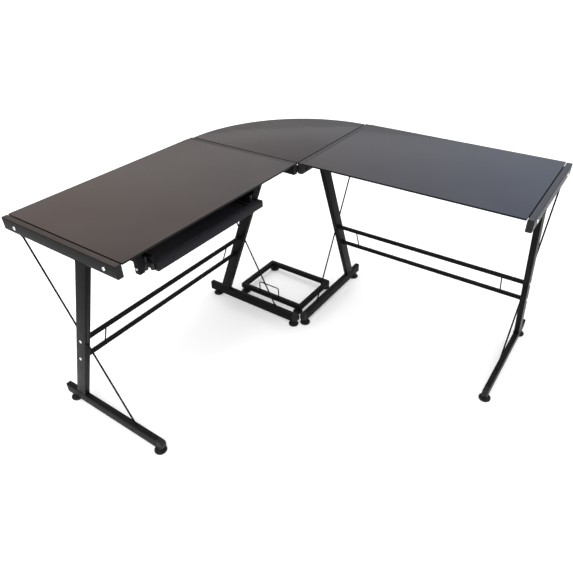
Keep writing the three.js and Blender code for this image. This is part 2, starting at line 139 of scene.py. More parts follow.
class Builder:
    """Collects closed solids in wing coordinates and makes one piece from them."""

    def __init__(self):
        self.bm = bmesh.new()

    def ring(self, points):
        return [self.bm.verts.new(p) for p in points]

    def skin(self, first, second):
        count = len(first)
        for i in range(count):
            j = (i + 1) % count
            self.bm.faces.new((first[i], first[j], second[j], second[i]))

    def loft(self, rings, looped=False):
        """A solid through closed rings of points, capped at both ends or joined into a loop."""
        made = [self.ring(r) for r in rings]
        for first, second in zip(made, made[1:]):
            self.skin(first, second)
        if looped:
            self.skin(made[-1], made[0])
        else:
            self.bm.faces.new(made[0])
            self.bm.faces.new(list(reversed(made[-1])))

    def slab(self, across, deep, axis, radius, edge):
        """A box with rounded corners round its axis and rounded rims at both ends.

        across holds the low and high values of the two directions that follow axis in x, y, z order,
        and deep the low and high values along axis.
        """
        (u0, u1), (v0, v1) = across
        d0, d1 = deep
        steps = 3
        rings = []
        for i in range(steps + 1):
            turn = math.pi / 2 * i / steps
            rings.append((edge * (1 - math.sin(turn)), d0 + edge * (1 - math.cos(turn))))
        rings += [(inset, d0 + d1 - depth) for inset, depth in reversed(rings)]
        placed = []
        for inset, depth in rings:
            outline = rounded(u0 + inset, u1 - inset, v0 + inset, v1 - inset, max(radius - inset, 0.2))
            placed.append([place(axis, u, v, depth) for u, v in outline])
        self.loft(placed)

    def turned(self, profile, centre, sides=32, start=0.0):
        """A profile of (radius, height) turned about an upright axis, which it begins and ends on."""
        cx, cy, cz = centre
        made = []
        for radius, height in profile:
            points = []
            for i in range(sides if radius > 0 else 1):
                angle = start + 2 * math.pi * i / sides
                points.append((cx + radius * math.cos(angle), cy + radius * math.sin(angle), cz + height))
            made.append(self.ring(points))
        for first, second in zip(made, made[1:]):
            if len(first) == 1 and len(second) == 1:
                continue
            if len(first) == 1:
                for i in range(sides):
                    self.bm.faces.new((first[0], second[i], second[(i + 1) % sides]))
            elif len(second) == 1:
                for i in range(sides):
                    self.bm.faces.new((first[(i + 1) % sides], first[i], second[0]))
            else:
                self.skin(first, second)

    def wire(self, points, radius, sides=10, looped=False, swell=None):
        """A round bead or rod along points; swell gives a factor for each point's radius."""
        points = [Vector(p) for p in points]
        count = len(points)
        rings = []
        side = None
        for i, p in enumerate(points):
            before = points[(i - 1) % count] if looped or i > 0 else p
            after = points[(i + 1) % count] if looped or i + 1 < count else p
            ahead = (after - before).normalized()
            if side is None:
                helper = Vector((0, 0, 1)) if abs(ahead.z) < 0.9 else Vector((1, 0, 0))
                side = helper.cross(ahead).normalized()
            side = (side - ahead * side.dot(ahead)).normalized()
            up = ahead.cross(side)
            r = radius * (swell(i) if swell else 1.0)
            rings.append([p + side * (r * math.cos(a)) + up * (r * math.sin(a)) for a in angles(sides)])
        self.loft(rings, looped=looped)

    def make(self, name, wing, material, body, replaces=()):
        """Turns what was collected into a piece that rides on a body."""
        for v in self.bm.verts:
            v.co = to_frame(wing, v.co)
        bmesh.ops.recalc_face_normals(self.bm, faces=self.bm.faces)
        mesh = bpy.data.meshes.new(name)
        self.bm.to_mesh(mesh)
        self.bm.free()
        mesh.shade_smooth()
        mesh.set_sharp_from_angle(angle=math.radians(SMOOTH_ANGLE))
        piece = bpy.data.objects.new(name, mesh)
        bpy.context.scene.collection.objects.link(piece)
        mesh.materials.append(material)
        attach(piece, body)
        if replaces:
            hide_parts(*replaces)


def angles(sides):
    return [2 * math.pi * i / sides for i in range(sides)]


def to_frame(wing, p):
    """A point in a wing's millimetres as a point of the frame in metres."""
    x, y, z = p
    if wing == "left":
        x, y = -y, -x
    return Vector(((x - SHIFT) * MM, (y + SHIFT) * MM, z * MM))


def place(axis, u, v, depth):
    """A point given across and along an axis; u and v follow it in x, y, z order."""
    if axis == "x":
        return (depth, u, v)
    if axis == "y":
        return (v, depth, u)
    return (u, v, depth)


def rounded(u0, u1, v0, v1, radius, steps=4):
    """A rectangle with rounded corners, as points in order."""
    corners = [(u1 - radius, v0 + radius, -90), (u1 - radius, v1 - radius, 0),
               (u0 + radius, v1 - radius, 90), (u0 + radius, v0 + radius, 180)]
    points = []
    for cu, cv, start in corners:
        for i in range(steps + 1):
            angle = math.radians(start + 90 * i / steps)
            points.append((cu + radius * math.cos(angle), cv + radius * math.sin(angle)))
    return points


def wobble(i, seed):
    """A steady pseudo-random factor near 1 for hand-made unevenness."""
    return 1.0 + 0.16 * math.sin(i * 2.4 + seed) + 0.08 * math.sin(i * 5.3 + 2 * seed)


# ---------------------------------------------------------------- materials

class Surface:
    """A procedural material being put together round one Principled BSDF."""

    def __init__(self, name):
        self.material = bpy.data.materials.new(name)
        self.material.use_nodes = True
        self.nodes = self.material.node_tree.nodes
        self.links = self.material.node_tree.links
        self.shader = self.nodes["Principled BSDF"]
        self.coords = self.nodes.new("ShaderNodeTexCoord").outputs["Object"]

    def noise(self, scale, detail=4.0, roughness=0.55, stretch=None, distortion=0.0):
        source = self.coords
        if stretch:
            mapping = self.nodes.new("ShaderNodeMapping")
            mapping.inputs["Scale"].default_value = stretch
            self.links.new(source, mapping.inputs["Vector"])
            source = mapping.outputs["Vector"]
        node = self.nodes.new("ShaderNodeTexNoise")
        node.inputs["Scale"].default_value = scale
        node.inputs["Detail"].default_value = detail
        node.inputs["Roughness"].default_value = roughness
        node.inputs["Distortion"].default_value = distortion
        self.links.new(source, node.inputs["Vector"])
        return node.outputs["Fac"]

    def ramp(self, factor, stops):
        node = self.nodes.new("ShaderNodeValToRGB")
        elements = node.color_ramp.elements
        while len(elements) < len(stops):
            elements.new(0.5)
        for element, (position, color) in zip(elements, stops):
            element.position = position
            element.color = (*color, 1.0)
        self.links.new(factor, node.inputs["Fac"])
        return node.outputs["Color"]

    def spread(self, factor, low, high, start=0.3, end=0.7):
        """The factor's run from start to end, stretched to run from low to high."""
        node = self.nodes.new("ShaderNodeMapRange")
        node.inputs["From Min"].default_value = start
        node.inputs["From Max"].default_value = end
        node.inputs["To Min"].default_value = low
        node.inputs["To Max"].default_value = high
        self.links.new(factor, node.inputs["Value"])
        return node.outputs["Result"]

    def mix(self, factor, first, second):
        node = self.nodes.new("ShaderNodeMix")
        node.data_type = "RGBA"
        for socket, value in (("Factor", factor), ("A", first), ("B", second)):
            target = [s for s in node.inputs if s.name == socket and s.enabled][0]
            if hasattr(value, "is_output"):
                self.links.new(value, target)
            else:
                target.default_value = value if socket == "Factor" else (*value, 1.0)
        return [s for s in node.outputs if s.enabled][0]

    def math(self, operation, first, second=0.0):
        node = self.nodes.new("ShaderNodeMath")
        node.operation = operation
        for i, value in enumerate((first, second)):
            if hasattr(value, "is_output"):
                self.links.new(value, node.inputs[i])
            else:
                node.inputs[i].default_value = value
        return node.outputs["Value"]

    def bump(self, height, strength, distance, below=None):
        node = self.nodes.new("ShaderNodeBump")
        node.inputs["Strength"].default_value = strength
        node.inputs["Distance"].default_value = distance
        self.links.new(height, node.inputs["Height"])
        if below:
            self.links.new(below, node.inputs["Normal"])
        return node.outputs["Normal"]

    def axis_value(self, index):
        """The surface point's x, y or z in metres."""
        node = self.nodes.new("ShaderNodeSeparateXYZ")
        self.links.new(self.coords, node.inputs["Vector"])
        return node.outputs[index]

    def upward(self):
        """How far the surface faces up, from -1 to 1."""
        geometry = self.nodes.new("ShaderNodeNewGeometry")
        node = self.nodes.new("ShaderNodeSeparateXYZ")
        self.links.new(geometry.outputs["Normal"], node.inputs["Vector"])
        return node.outputs["Z"]

    def across_desk(self, stops):
        """A color that changes from the left end of the desk to the right."""
        along = [self.math("MULTIPLY", self.axis_value(i), ACROSS[i]) for i in (0, 1)]
        place_across = self.spread(self.math("ADD", *along), 0.0, 1.0, -DESK_REACH, DESK_REACH)
        return self.ramp(place_across, stops)

    def set(self, **values):
        """Sets or links the shader's inputs; a space in an input's name is written as an underscore."""
        for name, value in values.items():
            socket = self.shader.inputs[name.replace("_", " ")]
            if hasattr(value, "is_output"):
                self.links.new(value, socket)
            else:
                socket.default_value = (*value, 1.0) if isinstance(value, tuple) else value


def coated(name, dark, light, rough, top=None, specular=0.04):
    """Satin powder coat: faint mottling, an orange-peel skin and a little dust on top faces.

    top holds color stops, from the desk's left to its right, of painted light that lightens faces that look
    up.
    """
    s = Surface(name)
    patches = s.ramp(s.noise(28.0, 5.0, 0.6), [(0.3, dark), (0.7, light)])
    specks = s.spread(s.noise(2300.0, 2.0), 0.0, 0.35, 0.58, 0.72)
    speckled = s.mix(specks, patches, tuple(min(1.0, c * 2.6) for c in light))
    dust = s.math("MULTIPLY", s.spread(s.upward(), 0.0, 0.045, 0.5, 1.0), s.noise(55.0, 6.0, 0.7))
    color = s.mix(dust, speckled, (0.20, 0.19, 0.18))
    # painted light: faces that look up take the lighter top stops, made a little uneven
    if top:
        facing_up = s.spread(s.upward(), 0.0, 1.0, 0.7, 0.98)
        uneven_painted_light = s.spread(s.noise(40.0, 5.0), 0.85, 1.0)
        color = s.mix(s.math("MULTIPLY", facing_up, uneven_painted_light), color, s.across_desk(top))
    s.set(
        Base_Color=color,
        Roughness=s.spread(s.noise(160.0, 4.0), rough - 0.05, rough + 0.09),
        Metallic=0.0,
        IOR=1.5,
    )
    s.shader.inputs["Specular IOR Level"].default_value = specular
    peel = s.bump(s.noise(1400.0, 3.0, 0.6), 0.35, 0.00006)
    s.set(Normal=s.bump(s.noise(240.0, 2.0), 0.15, 0.00018, below=peel))
    return s.material


def smoked_glass():
    """Dark back-painted glass with faint wiping marks, and a painted reflection that is warm at the desk's
    left end and cool at its right.
    """
    s = Surface("smoked_glass")
    # the glass's own dark tone with a painted reflection on it, warm on the left and cool on the right
    tint = s.across_desk(GLASS_TONE_AND_PAINTED_REFLECTION)
    cloud = s.noise(3.5, 4.0, 0.5, distortion=0.4)
    body = s.mix(s.spread(cloud, 0.0, 0.10), tint, (0.10, 0.10, 0.10))
    flat = s.spread(s.math("ABSOLUTE", s.upward()), 0.0, 1.0, 0.90, 0.99)
    wiped = s.noise(9.0, 5.0, 0.65, stretch=(1.0, 3.0, 1.0), distortion=1.2)
    polished = s.spread(wiped, 0.055, 0.115)
    edge_rough = s.math("ADD", s.math("MULTIPLY", flat, -0.2), 0.2)
    s.set(
        Base_Color=s.mix(flat, (0.004, 0.005, 0.005), body),
        Roughness=s.math("ADD", polished, edge_rough),
        Metallic=0.0,
        IOR=1.52,
    )
    s.shader.inputs["Specular IOR Level"].default_value = 0.08
    s.set(Normal=s.bump(s.noise(2.2, 2.0), 0.02, 0.002))
    return s.material


def zinc():
    """Dull zinc-plated steel with rolling marks."""
    s = Surface("zinc_steel")
    streaks = s.noise(60.0, 6.0, 0.7, stretch=(1.0, 30.0, 30.0))
    spangle = s.noise(420.0, 3.0, 0.5)
    tone = s.ramp(streaks, [(0.25, (0.045, 0.045, 0.048)), (0.75, (0.090, 0.090, 0.095))])
    s.set(
        Base_Color=s.mix(s.spread(spangle, 0.0, 0.3), tone, (0.075, 0.075, 0.082)),
        Roughness=s.spread(streaks, 0.36, 0.52),
        Metallic=0.6,
        Normal=s.bump(streaks, 0.2, 0.00005),
    )
    return s.material


def bright_steel():
    """Nickel-plated bolt heads, lightly scuffed."""
    s = Surface("bolt_steel")
    scuffs = s.noise(700.0, 5.0, 0.7, stretch=(1.0, 1.0, 6.0))
    s.set(
        Base_Color=s.ramp(scuffs, [(0.3, (0.62, 0.62, 0.63)), (0.7, (0.86, 0.86, 0.87))]),
        Roughness=s.spread(scuffs, 0.16, 0.34),
        Metallic=0.9,
        Normal=s.bump(scuffs, 0.12, 0.00004),
    )
    return s.material


def moulded(name, dark, light, rough):
    """Moulded plastic with a fine spark-eroded grain."""
    s = Surface(name)
    grain = s.noise(2600.0, 2.0, 0.5)
    tone = s.ramp(s.noise(70.0, 4.0), [(0.3, dark), (0.7, light)])
    s.set(
        Base_Color=s.mix(s.spread(grain, 0.0, 0.25), tone, tuple(c * 1.8 for c in light)),
        Roughness=s.spread(s.noise(300.0, 3.0), rough - 0.06, rough + 0.08),
        IOR=1.48,
        Normal=s.bump(grain, 0.4, 0.00005),
    )
    s.shader.inputs["Specular IOR Level"].default_value = 0.12
    return s.material


def clear_rubber():
    """Clear soft bumpers between the ledges and the glass."""
    s = Surface("clear_rubber")
    haze = s.noise(500.0, 3.0)
    s.set(
        Base_Color=s.ramp(haze, [(0.3, (0.55, 0.57, 0.57)), (0.7, (0.70, 0.72, 0.72))]),
        Roughness=s.spread(haze, 0.15, 0.3),
        Transmission_Weight=0.6,
        IOR=1.45,
    )
    return s.material


ACROSS = (0.82, 0.57)  # the level direction from the left end of the desk to its right end
DESK_REACH = 0.75  # metres each way along it
# The glass's own dark tone plus a painted reflection, warm at the desk's left and cool at its right.
GLASS_TONE_AND_PAINTED_REFLECTION = [
    (0.0, (0.049, 0.036, 0.031)),
    (0.5, (0.039, 0.034, 0.035)),
    (1.0, (0.042, 0.049, 0.069)),
]
# Painted reflection on the arms' top faces: much lighter than the coat, warm at the desk's left and cool at
# its right.
ARM_TOP_PAINTED_REFLECTION = [
    (0.0, (0.042, 0.034, 0.030)),
    (0.5, (0.056, 0.051, 0.052)),
    (1.0, (0.058, 0.062, 0.074)),
]
# Painted light on the tray's top faces, which makes them lighter than its front lip and sides.
TRAY_TOP_PAINTED_LIGHT = [
    (0.0, (0.036, 0.034, 0.040)),
    (1.0, (0.033, 0.034, 0.043)),
]
COAT_TONES = (0.0040, 0.0040, 0.0047), (0.0068, 0.0068, 0.0077)
COAT = coated("black_powder_coat", *COAT_TONES, 0.40)
ARM_COAT = coated("black_powder_coat_arms", *COAT_TONES, 0.34, top=ARM_TOP_PAINTED_REFLECTION)
TRAY_TONES = (0.0085, 0.0082, 0.0104), (0.0118, 0.0115, 0.0142)
TRAY_COAT = coated("black_tray_board", *TRAY_TONES, 0.40, top=TRAY_TOP_PAINTED_LIGHT, specular=0.08)
GLASS = smoked_glass()
ZINC = zinc()
STEEL = bright_steel()
PLASTIC = moulded("black_plastic", (0.009, 0.009, 0.0095), (0.015, 0.015, 0.016), 0.5)
GREY_PLASTIC = moulded("grey_plastic", (0.022, 0.022, 0.023), (0.032, 0.032, 0.033), 0.5)
RUBBER = clear_rubber()


# ---------------------------------------------------------------- CAD nodes that stay

def smoothing(angle):
    """A node group that shades faces smooth and keeps edges sharper than the angle."""
    group = bpy.data.node_groups.new("smooth_by_angle", "GeometryNodeTree")
    group.interface.new_socket("Geometry", in_out="INPUT", socket_type="NodeSocketGeometry")
    group.interface.new_socket("Geometry", in_out="OUTPUT", socket_type="NodeSocketGeometry")
    enter = group.nodes.new("NodeGroupInput")
    leave = group.nodes.new("NodeGroupOutput")
    faces = group.nodes.new("GeometryNodeSetShadeSmooth")
    faces.domain = "FACE"
    edges = group.nodes.new("GeometryNodeSetShadeSmooth")
    edges.domain = "EDGE"
    edges.inputs["Shade Smooth"].default_value = False
    bend = group.nodes.new("GeometryNodeInputMeshEdgeAngle")
    sharp = group.nodes.new("FunctionNodeCompare")
    sharp.data_type = "FLOAT"
    sharp.operation = "GREATER_THAN"
    sharp.inputs["B"].default_value = math.radians(angle)
    link = group.links.new
    link(enter.outputs[0], faces.inputs["Geometry"])
    link(faces.outputs["Geometry"], edges.inputs["Geometry"])
    link(bend.outputs["Unsigned Angle"], sharp.inputs["A"])
    link(sharp.outputs["Result"], edges.inputs["Selection"])
    link(edges.outputs["Geometry"], leave.inputs[0])
    return group


SMOOTH = smoothing(32.0)
SPLIT_CORNER_GAP = 1e-5  # metres
BEVEL_ANGLE = 40.0


def dress(node, material, bevel):
    """Gives a CAD node its material, joins its split corners and rounds its edges by bevel mm."""
    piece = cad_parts[node]
    piece.data.materials.clear()
    piece.data.materials.append(material)
    normals = piece.data.attributes.get("custom_normal")
    if normals:
        piece.data.attributes.remove(normals)
    weld = piece.modifiers.new("weld", "WELD")
    weld.merge_threshold = SPLIT_CORNER_GAP
    if bevel:
        rounding = piece.modifiers.new("bevel", "BEVEL")
        rounding.width = bevel * MM
        rounding.segments = 2
        rounding.limit_method = "ANGLE"
        rounding.angle_limit = math.radians(BEVEL_ANGLE)
    smooth = piece.modifiers.new("smooth", "NODES")
    smooth.node_group = SMOOTH


FINISHES = [  # how a node's name ends, its material, and the radius of its edges
    ("_glass", GLASS, 0.0),
    ("_middle_slide", ZINC, 0.6),
    ("_slide", COAT, 0.6),
    ("keyboard_tray", TRAY_COAT, 0.7),
    (("_ledge", "_bracket", "_post", "_hanger", "_rail"), COAT, 0.5),
    (("_brace", "_stretcher", "_guard", "_ring"), COAT, 0.0),
]

for node_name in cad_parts:
    for ending, finish, edge_radius in FINISHES:
        if node_name.endswith(ending):
            dress(node_name, finish, edge_radius)
            break


# ---------------------------------------------------------------- frames

def hollow_tube(build, across, deep):
    """A square-cut tube along y, open at both ends so that its wall shows."""
    (u0, u1), (v0, v1) = across
    wall = TUBE_WALL
    outer = rounded(u0, u1, v0, v1, TUBE_RADIUS)
    inner = rounded(u0 + wall, u1 - wall, v0 + wall, v1 - wall, TUBE_RADIUS - wall)
    ease = 0.3
    eased = rounded(u0 + ease, u1 - ease, v0 + ease, v1 - ease, TUBE_RADIUS - ease)
    d0, d1 = deep
    rings = [(eased, d0), (outer, d0 + ease), (outer, d1 - ease), (eased, d1), (inner, d1), (inner, d0)]
    build.loft([[place("y", u, v, d) for u, v in outline] for outline, d in rings], looped=True)


def end_plug(build, across, face, inward):
    """A moulded plug: a lip that covers the tube's end and a body inside it."""
    (u0, u1), (v0, v1) = across
    inset = 0.35
    lip = sorted((face, face + inward * PLUG_LIP))
    build.slab(((u0 + inset, u1 - inset), (v0 + inset, v1 - inset)), lip, "y", TUBE_RADIUS, 0.6)
    grip = sorted((face + inward * (PLUG_LIP + 0.1), face + inward * PLUG_LENGTH))
    gap = TUBE_WALL + 0.3
    build.slab(((u0 + gap, u1 - gap), (v0 + gap, v1 - gap)), grip, "y", 1.2, 0.5)


def nose_outline(front):
    """The side view of a foot bar's moulded nose, as (y, z) points."""
    steps = 7
    top_radius = 8.0
    bottom_radius = 22.0
    back = front + NOSE_LENGTH
    points = [(back, FOOT_Z[0]), (back, FOOT_Z[1])]
    arcs = [(top_radius, FOOT_Z[1] - top_radius, 90), (bottom_radius, FOOT_Z[0] + bottom_radius, 180)]
    for radius, z, start in arcs:
        for i in range(steps + 1):
            angle = math.radians(start + 90 * i / steps)
            points.append((front + radius + radius * math.cos(angle), z + radius * math.sin(angle)))
    return points


def shrunk(points, inset):
    """An outline scaled about its middle, so that its furthest points move inwards by inset."""
    count = len(points)
    cu = sum(p[0] for p in points) / count
    cv = sum(p[1] for p in points) / count
    scale_u = 1 - inset / max(abs(p[0] - cu) for p in points)
    scale_v = 1 - inset / max(abs(p[1] - cv) for p in points)
    return [(cu + (u - cu) * scale_u, cv + (v - cv) * scale_v) for u, v in points]


def nose_cap(build, centre, front):
    """The moulded nose on the front of a foot bar, with its edges rounded."""
    outline = nose_outline(front)
    edge = 2.2
    steps = 3
    rings = []
    for i in range(steps + 1):
        turn = math.pi / 2 * i / steps
        rings.append((edge * (1 - math.sin(turn)), edge * (1 - math.cos(turn))))
    low, high = centre - HALF_TUBE, centre + HALF_TUBE
    placed = [[(low + out, y, z) for y, z in shrunk(outline, inset)] for inset, out in rings]
    placed += [[(high - out, y, z) for y, z in shrunk(outline, inset)] for inset, out in reversed(rings)]
    build.loft(placed)


def post_y(z):
    """The middle of a post's side face at height z."""
    return sum(POST_TOP) / 2 + POST_LEAN * (ARM_Z[0] - z) / POST_RISE


def brace_y(z):
    """The depth of a brace rod at height z."""
    low, high = BRACE_DEPTHS
    return low + (high - low) * (z - FOOT_Z[1]) / POST_RISE


def weld_bead(build, centre, y0, y1, z, seed):
    """An uneven weld bead round a post's end, lying on the tube it is joined to."""
    outline = rounded(centre - HALF_TUBE + 0.4, centre + HALF_TUBE - 0.4, y0 - 0.8, y1 + 0.8, 3.0, 3)
    points = []
    for (xa, ya), (xb, yb) in zip(outline, outline[1:] + outline[:1]):
        length = math.hypot(xb - xa, yb - ya)
        count = max(1, int(length / 1.6))
        for i in range(count):
            points.append((xa + (xb - xa) * i / count, ya + (yb - ya) * i / count, z))
    build.wire(points, 1.5, sides=8, looped=True, swell=lambda i: wobble(i, seed))


def hex_nut(build, centre, height):
    """A hexagonal nut with turned-off corners, standing on centre."""
    corner = NUT_FLATS / math.sqrt(3)
    profile = [(0, 0), (corner * 0.93, 0), (corner, height * 0.14), (corner, height * 0.86),
               (corner * 0.93, height), (0, height)]
    build.turned(profile, centre, sides=6, start=math.radians(30))


def socket_bolt(build, centre, radius, height, out):
    """A domed bolt head on a side face with a hexagonal socket; out is 1 or -1 along x."""
    cx, cy, cz = centre
    socket = radius * 0.42
    sides = 36
    steps = 6
    rings = [[(cx, cy + radius * math.cos(a), cz + radius * math.sin(a)) for a in angles(sides)]]
    rings.append([(cx + out * height * 0.25, y, z) for _, y, z in rings[0]])
    for i in range(1, steps + 1):
        turn = math.pi / 2 * i / steps
        r = socket * 1.25 + (radius - socket * 1.25) * math.cos(turn)
        x = cx + out * height * (0.25 + 0.75 * math.sin(turn))
        rings.append([(x, cy + r * math.cos(a), cz + r * math.sin(a)) for a in angles(sides)])
    for depth in (1.0, 0.35):
        x = cx + out * height * depth
        reaches = [(a, hexagon(a) * socket) for a in angles(sides)]
        rings.append([(x, cy + reach * math.cos(a), cz + reach * math.sin(a)) for a, reach in reaches])
    build.loft(rings)


def hexagon(angle):
    """Distance to the side of a hexagon of unit flats, in the direction of angle."""
    sector = math.pi / 3
    return 1.0 / math.cos((angle % sector) - sector / 2)


def leveller(build, x, y):
    """A levelling foot: a moulded disc with a grip round its rim, a collar and a raised boss."""
    sides = 72
    grip = [1.0 - 0.02 * (i % 3 == 0) for i in range(sides)]
    rim = LEVELLER_RADIUS
    profile = [(rim - 2.6, 0.0), (rim - 0.8, 0.6), (rim, 2.0), (rim, 5.2), (rim - 0.7, 6.8), (rim - 2.4, 7.8),
               (rim - 4.0, 8.0), (13.0, 8.0), (11.6, 8.6), (10.0, 9.2), (9.2, 11.6), (8.2, LEVELLER_TOP)]
    rings = []
    for radius, z in profile:
        ring = []
        for angle, notch in zip(angles(sides), grip):
            reach = radius * (notch if radius == rim else 1.0)
            ring.append((x + reach * math.cos(angle), y + reach * math.sin(angle), z))
        rings.append(ring)
    build.loft(rings)


def threaded_stem(build, x, y, low, high):
    """A screw stem, with its thread as fine rings."""
    radius = 4.9
    root = radius - 0.6
    pitch = 1.25
    profile = [(0, low), (root, low)]
    z = low
    while z + pitch < high:
        profile += [(radius, z + pitch / 2), (root, z + pitch)]
        z += pitch
    profile += [(root, high), (0, high)]
    build.turned(profile, (x, y, 0), sides=24)


def ferrule(build, point, radius, length, along):
    """A small turned ferrule on the brace rod, centred on point."""
    p = Vector(point)
    step = Vector(along).normalized() * (length / 2)
    stages = [(-1.0, 0.55), (-0.8, 0.95), (-0.3, 1.0), (0.3, 1.0), (0.8, 0.95), (1.0, 0.55)]
    points = [p + step * where for where, _ in stages]
    build.wire(points, radius, sides=16, swell=lambda i: stages[i][1])


def add_frame(wing, end, seed):
    """Everything on one frame but the pieces that stay as CAD nodes."""
    centre = CENTRES[end]
    front = FOOT_FRONTS[end]
    label = f"{wing}_{end}"
    width = (centre - HALF_TUBE, centre + HALF_TUBE)
    arm_across = (ARM_Z, width)
    foot_across = (FOOT_Z, width)

    build = Builder()
    hollow_tube(build, arm_across, (PLUG_LIP, DEPTH - PLUG_LIP))
    build.make(f"{label}_arm_tube", wing, ARM_COAT, "desk",
               replaces=[f"{label}_arm"])

    build = Builder()
    hollow_tube(build, foot_across, (front + NOSE_LENGTH + SEAM, FOOT_BACK - PLUG_LIP))
    build.make(f"{label}_foot_tube", wing, COAT, "desk",
               replaces=[f"{label}_foot_bar"])

    build = Builder()
    end_plug(build, arm_across, 0.0, 1)
    end_plug(build, arm_across, DEPTH, -1)
    end_plug(build, foot_across, FOOT_BACK, -1)
    nose_cap(build, centre, front)
    build.make(f"{label}_end_plugs", wing, PLASTIC, "desk")

    build = Builder()
    sunk = 0.6
    weld_bead(build, centre, POST_TOP[0], POST_TOP[1], ARM_Z[0] - sunk, seed)
    weld_bead(build, centre, POST_TOP[0] + POST_LEAN, POST_TOP[1] + POST_LEAN, FOOT_Z[1] + sunk, seed + 1)
    lean = (0.0, BRACE_DEPTHS[1] - BRACE_DEPTHS[0], POST_RISE)
    for z in (FOOT_Z[1] + FERRULE_HEIGHT, ARM_Z[0] - FERRULE_HEIGHT):
        ferrule(build, (centre, brace_y(z), z), 4.6, 10.0, lean)
    build.make(f"{label}_welds", wing, COAT, "desk")

    build = Builder()
    out = 1 if end == "end" else -1
    for z in STRETCHER_HEIGHTS:
        middle = (centre + out * HALF_TUBE, post_y(z), z)
        socket_bolt(build, middle, POST_BOLT_RADIUS, POST_BOLT_HEIGHTS[end], out)
    build.make(f"{label}_post_bolts", wing, STEEL, "desk")

    build = Builder()
    for depth in LEVELLER_DEPTHS[end].values():
        hex_nut(build, (centre, depth, NUT_Z), NUT_HEIGHT)
    build.make(f"{label}_leveller_nuts", wing, COAT, "desk")

    for where, depth in LEVELLER_DEPTHS[end].items():
        add_leveller(f"{label}_{where}", wing, centre, depth, FOOT_Z[0])


def add_leveller(label, wing, x, y, under):
    """A levelling foot's disc and its threaded stem, which ends just below the tube over it."""
    node = f"{label}_leveller"
    build = Builder()
    leveller(build, x, y)
    build.make(f"{label}_foot_disc", wing, PLASTIC, node, replaces=[node])
    build = Builder()
    threaded_stem(build, x, y, LEVELLER_TOP + 0.02, under - 0.4)
    build.make(f"{label}_foot_stem", wing, ZINC, node)


def add_arm_bolts(wing):
    for where, depth in ARM_BOLT_DEPTHS.items():
        build = Builder()
        middle = (CENTRES["end"] + HALF_TUBE, depth, ARM_BOLT_Z)
        socket_bolt(build, middle, ARM_BOLT_RADIUS, ARM_BOLT_HEIGHT, 1)
        build.make(f"{wing}_{where}_arm_bolt_head", wing, STEEL, "desk",
                   replaces=[f"{wing}_{where}_arm_bolt"])


WELD_SEEDS = {
    "left": {"inner": 0.0, "end": 0.9},
    "right": {"inner": 1.7, "end": 2.6},
}

for wing_name, ends in WELD_SEEDS.items():
    for end_name, weld_seed in ends.items():
        add_frame(wing_name, end_name, weld_seed)
for wing_name in ("left", "right"):
    add_arm_bolts(wing_name)


# ---------------------------------------------------------------- stretchers, ledges and glass pads

def flange(build, face, out, z):
    """A thin plate on the end of a stretcher bar against a post; out points away from the post."""
    middle = post_y(z)
    half = STRETCHER_HALF
    reach = half + 4.0
    deep = sorted((face, face + out * FLANGE_SHEET))
    build.slab(((middle - reach, middle + reach), (z - reach, z + reach)), deep, "x", 3.0, 0.6)
    outline = rounded(middle - half, middle + half, z - half, z + half, 1.5, 3)
    weld_x = face + out * (FLANGE_SHEET + 0.4)
    build.wire([(weld_x, y, high) for y, high in outline], 1.2, sides=8, looped=True,
               swell=lambda i: wobble(i, z))


def add_flanges(wing):
    build = Builder()
    for bar_z in STRETCHER_HEIGHTS:
        flange(build, CENTRES["inner"] + HALF_TUBE, 1, bar_z)
        flange(build, CENTRES["end"] - HALF_TUBE, -1, bar_z)
    build.make(f"{wing}_stretcher_flanges", wing, COAT, "desk")


LEDGES = [  # each ledge's arm wall, and the way that the ledge faces
    (CENTRES["end"] - HALF_TUBE, -1),
    (CENTRES["inner"] + HALF_TUBE, 1),
    (CENTRES["inner"] - HALF_TUBE, -1),
]


def add_ledge_screws(wing):
    """Three screws through each ledge, and one through the corner bracket."""
    build = Builder()
    for wall, way in LEDGES:
        for depth in LEDGE_SCREW_DEPTHS:
            middle = (wall + way * LEDGE_SHEET, depth, LEDGE_SCREW_Z)
            socket_bolt(build, middle, SCREW_RADIUS, SCREW_HEIGHT, way)
    wall, way = LEDGES[-1]
    socket_bolt(build, (wall + way * LEDGE_SHEET, *BRACKET_SCREW), SCREW_RADIUS, SCREW_HEIGHT, way)
    build.make(f"{wing}_ledge_screws", wing, ZINC, "desk")


def add_glass_pads(wing):
    """Thin clear discs between the ledges and the glass."""
    eased = PAD_RADIUS - 0.4
    profile = [(0, 0), (eased, 0), (PAD_RADIUS, 0.1), (PAD_RADIUS, 0.3), (eased, PAD_HEIGHT), (0, PAD_HEIGHT)]
    build = Builder()
    for wall, way in LEDGES:
        for depth in PAD_DEPTHS:
            build.turned(profile, (wall + way * PAD_FROM_WALL, depth, LEDGE_TOP + 0.05))
    build.make(f"{wing}_glass_pads", wing, RUBBER, "desk")


for wing_name in ("left", "right"):
    add_flanges(wing_name)
    add_ledge_screws(wing_name)
    add_glass_pads(wing_name)


# ---------------------------------------------------------------- keyboard tray hardware

def across_tray(side, x):
    """A place along the left wing given for the tray's left side, mirrored for its right side."""
    return x if side == "left" else 2 * TRAY_MIDDLE - x


def span(side, places):
    return sorted(across_tray(side, x) for x in places)


def add_hanger_screws(side, out):
    build = Builder()
    for front in HANGER_FRONTS.values():
        middle = (across_tray(side, HANGER_OUTER), front + 9.0, HANGER_SCREW_Z)
        socket_bolt(build, middle, 4.4, 2.4, out)
    build.make(f"tray_{side}_hanger_screws", "left", STEEL, "desk")


